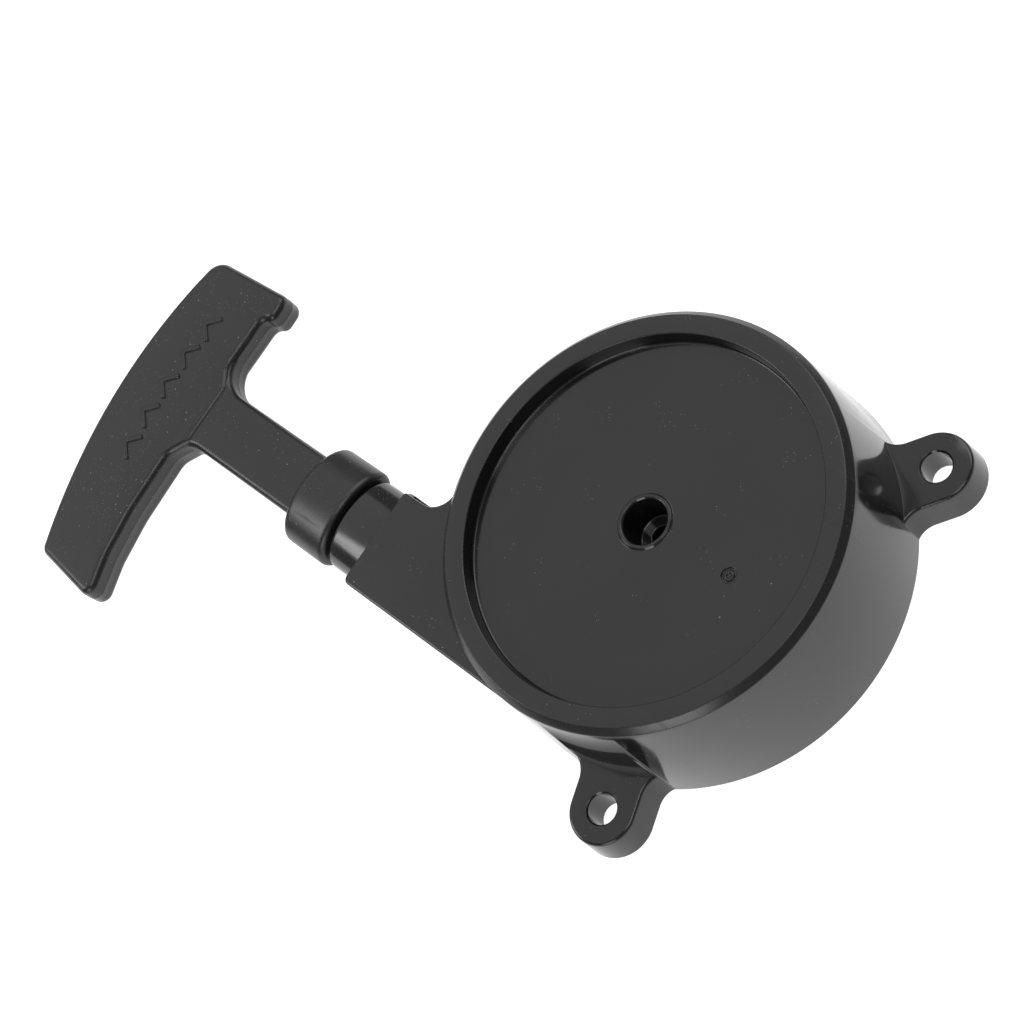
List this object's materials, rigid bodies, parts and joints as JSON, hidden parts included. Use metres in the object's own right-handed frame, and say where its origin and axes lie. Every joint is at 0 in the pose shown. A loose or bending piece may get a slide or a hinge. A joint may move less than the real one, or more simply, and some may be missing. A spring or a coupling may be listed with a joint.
{
  "type": "recoil starter",
  "caption": "Black plastic recoil starter for a small engine: round drum housing with mounting ears, rope guide, T-grip pull handle, rope reel, flat recoil spring and drive pawls.",
  "frame": {"origin": "centre of the bounding box at the bottom; the drum's axis is at X +53.7 mm, Y +17.2 mm", "axes": "+Z along the drum's axis from the engine face to the closed front; the rope is pulled towards -X"},
  "size_m": [0.202, 0.1334, 0.031],
  "materials": {
    "black_gloss": "glossy",
    "black_satin": "satin",
    "grey_nylon": "satin",
    "zinc_steel": "zinc plated",
    "spring_steel": "blued",
    "brass": "turned",
    "braided_nylon": "braided"
  },
  "bodies": {
    "housing_body": {"housing": "black_gloss", "rope_guide": "black_gloss", "rope_eyelet": "zinc_steel", "spring_case": "zinc_steel", "recoil_spring": "spring_steel", "post_insert": "brass", "centre_screw": "zinc_steel", "screw_washer": "zinc_steel"},
    "reel_body": {"reel": "grey_nylon", "reel_bush": "brass", "rope_winding": "braided_nylon", "reel_knot": "braided_nylon", "pawl_pin_1": "zinc_steel", "pawl_pin_2": "zinc_steel", "friction_spring": "spring_steel"},
    "friction_plate_body": {"friction_plate": "zinc_steel"},
    "pawl_1_body": {"pawl_1": "zinc_steel"},
    "pawl_2_body": {"pawl_2": "zinc_steel"},
    "handle_body": {"handle": "black_satin", "handle_plug": "black_satin", "handle_knot": "braided_nylon", "knot_washer": "zinc_steel", "rope_run": "braided_nylon"}
  },
  "joints": [
    {"name": "reel_spin", "type": "hinge", "parent": "housing_body", "child": "reel_body", "pos_m": [0.05374, 0.01719, 0.014], "axis": [0, 0, -1], "range_deg": [0, 1296], "stiffness_Nm_per_rad": 0.012, "springref_deg": -720.21, "deforming": ["recoil_spring"]},
    {"name": "handle_pull", "type": "slide", "parent": "housing_body", "child": "handle_body", "axis": [-1, 0, 0], "range_m": [0, 0.612]},
    {"name": "friction_plate_turn", "type": "hinge", "parent": "reel_body", "child": "friction_plate_body", "pos_m": [0.05374, 0.01719, 0.0043], "axis": [0, 0, 1], "range_deg": [0, 25]},
    {"name": "pawl_1_swing", "type": "hinge", "parent": "reel_body", "child": "pawl_1_body", "pos_m": [0.07574, 0.01719, 0.0072], "axis": [0, 0, 1], "range_deg": [0, 25]},
    {"name": "pawl_2_swing", "type": "hinge", "parent": "reel_body", "child": "pawl_2_body", "pos_m": [0.03174, 0.01719, 0.0072], "axis": [0, 0, 1], "range_deg": [0, 25]}
  ],
  "couplings": [
    {"joint": "handle_pull", "follows": "reel_spin", "m_per_rad": 0.027},
    {"joint": "pawl_1_swing", "follows": "friction_plate_turn", "ratio": 1},
    {"joint": "pawl_2_swing", "follows": "friction_plate_turn", "ratio": 1}
  ]
}
